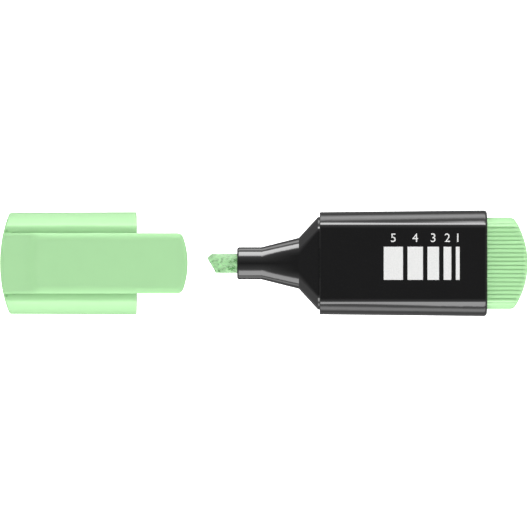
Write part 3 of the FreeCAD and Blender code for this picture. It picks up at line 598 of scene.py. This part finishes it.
def bar_layout():
    """Left and right edge of each printed bar."""
    total = sum(BAR_WIDTHS) * MM
    gap = (PRINT_LENGTH - total) / (len(BAR_WIDTHS) - 1)
    x = PRINT_START
    spots = []
    for width in BAR_WIDTHS:
        spots.append((x, x + width * MM))
        x += width * MM + gap
    return spots


def bars_mesh():
    mesh = bpy.data.meshes.new("width_guide_bars")
    form = bmesh.new()
    for x1, x2 in bar_layout():
        add_slab(form, x1, x2, -BAR_HEIGHT / 2, BAR_HEIGHT / 2)
    form.to_mesh(mesh)
    form.free()
    return mesh


new_piece("width_guide_bars", bars_mesh(), "barrel", "print_white")


def digit_piece(width, x):
    """Number of millimetres printed above its bar."""
    curve = bpy.data.curves.new("digit_%d" % width, "FONT")
    curve.body = str(width)
    curve.size = DIGIT_SIZE
    curve.align_x = "CENTER"
    curve.align_y = "CENTER"
    curve.extrude = PRINT_THICK / 2
    text = bpy.data.objects.new("digit_source", curve)
    bpy.context.scene.collection.objects.link(text)
    graph = bpy.context.evaluated_depsgraph_get()
    mesh = bpy.data.meshes.new_from_object(text.evaluated_get(graph))
    bpy.data.objects.remove(text)
    place = (x, BAR_HEIGHT / 2 + DIGIT_GAP, PRINT_TOP + PRINT_THICK / 2)
    mesh.transform(Matrix.Translation(place))
    mesh.materials.clear()
    return new_piece("width_guide_%d" % width, mesh, "barrel", "print_white")


for bar_width, (bar_left, bar_right) in zip(BAR_WIDTHS, bar_layout()):
    digit_piece(bar_width, (bar_left + bar_right) / 2)


# ---------------------------------------------------------------- stage
FLOOR_SIZE = 12
FLOOR_DROP = 0.1 * MM


def floor():
    """Bright ground for the camera, which neither lights the pen nor shows in it."""
    bpy.ops.mesh.primitive_plane_add(size=FLOOR_SIZE, location=(0, 0, -FLOOR_DROP))
    plane = bpy.context.object
    plane.name = "floor"
    shader = Shader("floor_white")
    shader.set(Base_Color=(0.85, 0.85, 0.85, 1), Roughness=0.8, Specular_IOR_Level=0.1)
    shader.set(Emission_Color=(1, 1, 1, 1), Emission_Strength=1.6)
    plane.data.materials.append(shader.material)
    plane.visible_glossy = False
    plane.visible_diffuse = False


# Soft lights: place, then length and height, in metres, and power in watts.
PANELS = {
    "panel_over": ((0, 0, 0.5), (0.4, 0.4), 1.2),
    "panel_far": ((0, 0.5, 0.05), (1.2, 0.3), 2.2),
    "panel_near": ((0, -0.5, 0.05), (1.2, 0.3), 3.2),
    "panel_cap_end": ((-0.5, 0, 0.1), (0.3, 0.2), 0.35),
    "panel_plug_end": ((0.5, 0, 0.1), (0.3, 0.2), 0.5),
}
# Point on the floor, under the middle of the pen, that the lights face.
PANEL_AIM = Vector((0, 0, 0))


def panel(name, location, size, power):
    """Soft rectangular light, hidden from the camera and from reflections."""
    data = bpy.data.lights.new(name, "AREA")
    data.shape = "RECTANGLE"
    data.size, data.size_y = size
    data.energy = power
    light = bpy.data.objects.new(name, data)
    light.location = location
    light.rotation_euler = (PANEL_AIM - Vector(location)).to_track_quat("-Z", "Y").to_euler()
    light.visible_camera = False
    light.visible_glossy = False
    bpy.context.scene.collection.objects.link(light)


# Level that counts as 1 in the colours of the reflected studio.
REFLECTION_FULL = 14.0
# Studio seen in reflections: strips along the pen, (degrees from overhead, brightness).
# Plus degrees lie on the +Y side.
STRIPS = [
    (-180, 0.3), (-134, 0.35), (-129, 0.6), (-123, 1.6), (-118, 2.4), (-110, 2.4),
    (-106, 1.0), (-99, 1.0), (-95, 5.6), (-80, 7.0), (-58, 7.5), (-53, 2.8), (-45, 1.0),
    (0, 0.22), (44, 0.9), (52, 2.2), (60, 14.0), (86, 14.0), (91, 5.0), (95, 1.2),
    (104, 1.2), (109, 3.4), (118, 3.8), (125, 2.6), (132, 0.9), (138, 0.3), (180, 0.2),
]
# The same seen towards the pen's two ends: level with it, and overhead.
END_LEVELS = (1.0, 0.1)
# How far towards an end, from 0 to 1, the strips start to fade, and are gone.
END_FADE = (0.3, 0.62)
# Brightness of the room as it lights the matt surfaces: from below, level and overhead.
ROOM = (0.6, 0.48, 0.34)


def grey(level):
    return (level, level, level)


def reflected_studio(tree, direction):
    """Long soft strips either side of the pen, with plainer ends."""
    angle = math_node(tree, "ARCTAN2", direction["Y"], direction["Z"])
    turn = math_node(tree, "MULTIPLY_ADD", angle, 1 / (2 * math.pi), 0.5)
    stops = [((degrees + 180) / 360, grey(level / REFLECTION_FULL)) for degrees, level in STRIPS]
    sides = ramp_node(tree, turn, stops)
    ends = range_node(
        tree, math_node(tree, "ABSOLUTE", direction["Z"]),
        result=[level / REFLECTION_FULL for level in END_LEVELS],
    )
    along = math_node(tree, "ABSOLUTE", direction["X"])
    fade = range_node(tree, along, source=END_FADE, interpolation="SMOOTHSTEP")
    studio = tree.nodes.new("ShaderNodeBackground")
    studio.inputs["Strength"].default_value = REFLECTION_FULL
    tree.links.new(mix_node(tree, fade, sides, ends), studio.inputs["Color"])
    return studio.outputs["Background"]


def room_light(tree, direction):
    """Dim room that lights the matt surfaces."""
    height = math_node(tree, "MULTIPLY_ADD", direction["Z"], 0.5, 0.5)
    stops = [(k / (len(ROOM) - 1), grey(level)) for k, level in enumerate(ROOM)]
    room = tree.nodes.new("ShaderNodeBackground")
    tree.links.new(ramp_node(tree, height, stops), room.inputs["Color"])
    return room.outputs["Background"]


def world():
    """Studio for mirrored rays and room for all others."""
    sky = bpy.data.worlds.new("studio")
    bpy.context.scene.world = sky
    sky.use_nodes = True
    tree = sky.node_tree
    tree.nodes.clear()
    output = tree.nodes.new("ShaderNodeOutputWorld")
    place = tree.nodes.new("ShaderNodeTexCoord")
    split = tree.nodes.new("ShaderNodeSeparateXYZ")
    tree.links.new(place.outputs["Generated"], split.inputs["Vector"])
    rays = tree.nodes.new("ShaderNodeLightPath")
    choice = tree.nodes.new("ShaderNodeMixShader")
    tree.links.new(rays.outputs["Is Glossy Ray"], choice.inputs["Fac"])
    tree.links.new(room_light(tree, split.outputs), choice.inputs[1])
    tree.links.new(reflected_studio(tree, split.outputs), choice.inputs[2])
    tree.links.new(choice.outputs["Shader"], output.inputs["Surface"])


VIEW_WIDTH = 137 * MM
VIEW_MIDDLE = (-0.13 * MM, -0.05 * MM)
SENSOR_WIDTH = 36
LENS = 900
FARTHEST_SEEN = 50


def camera():
    """Long lens straight above, so the pen fills the picture's width."""
    data = bpy.data.cameras.new("camera")
    data.sensor_width = SENSOR_WIDTH
    data.lens = LENS
    data.clip_end = FARTHEST_SEEN
    eye = bpy.data.objects.new("camera", data)
    eye.location = (*VIEW_MIDDLE, AXIS_Z + VIEW_WIDTH * LENS / SENSOR_WIDTH)
    bpy.context.scene.collection.objects.link(eye)
    bpy.context.scene.camera = eye


floor()
world()
camera()
for panel_name, (panel_place, panel_size, panel_power) in PANELS.items():
    panel(panel_name, panel_place, panel_size, panel_power)
bpy.context.scene.view_settings.view_transform = "Standard"
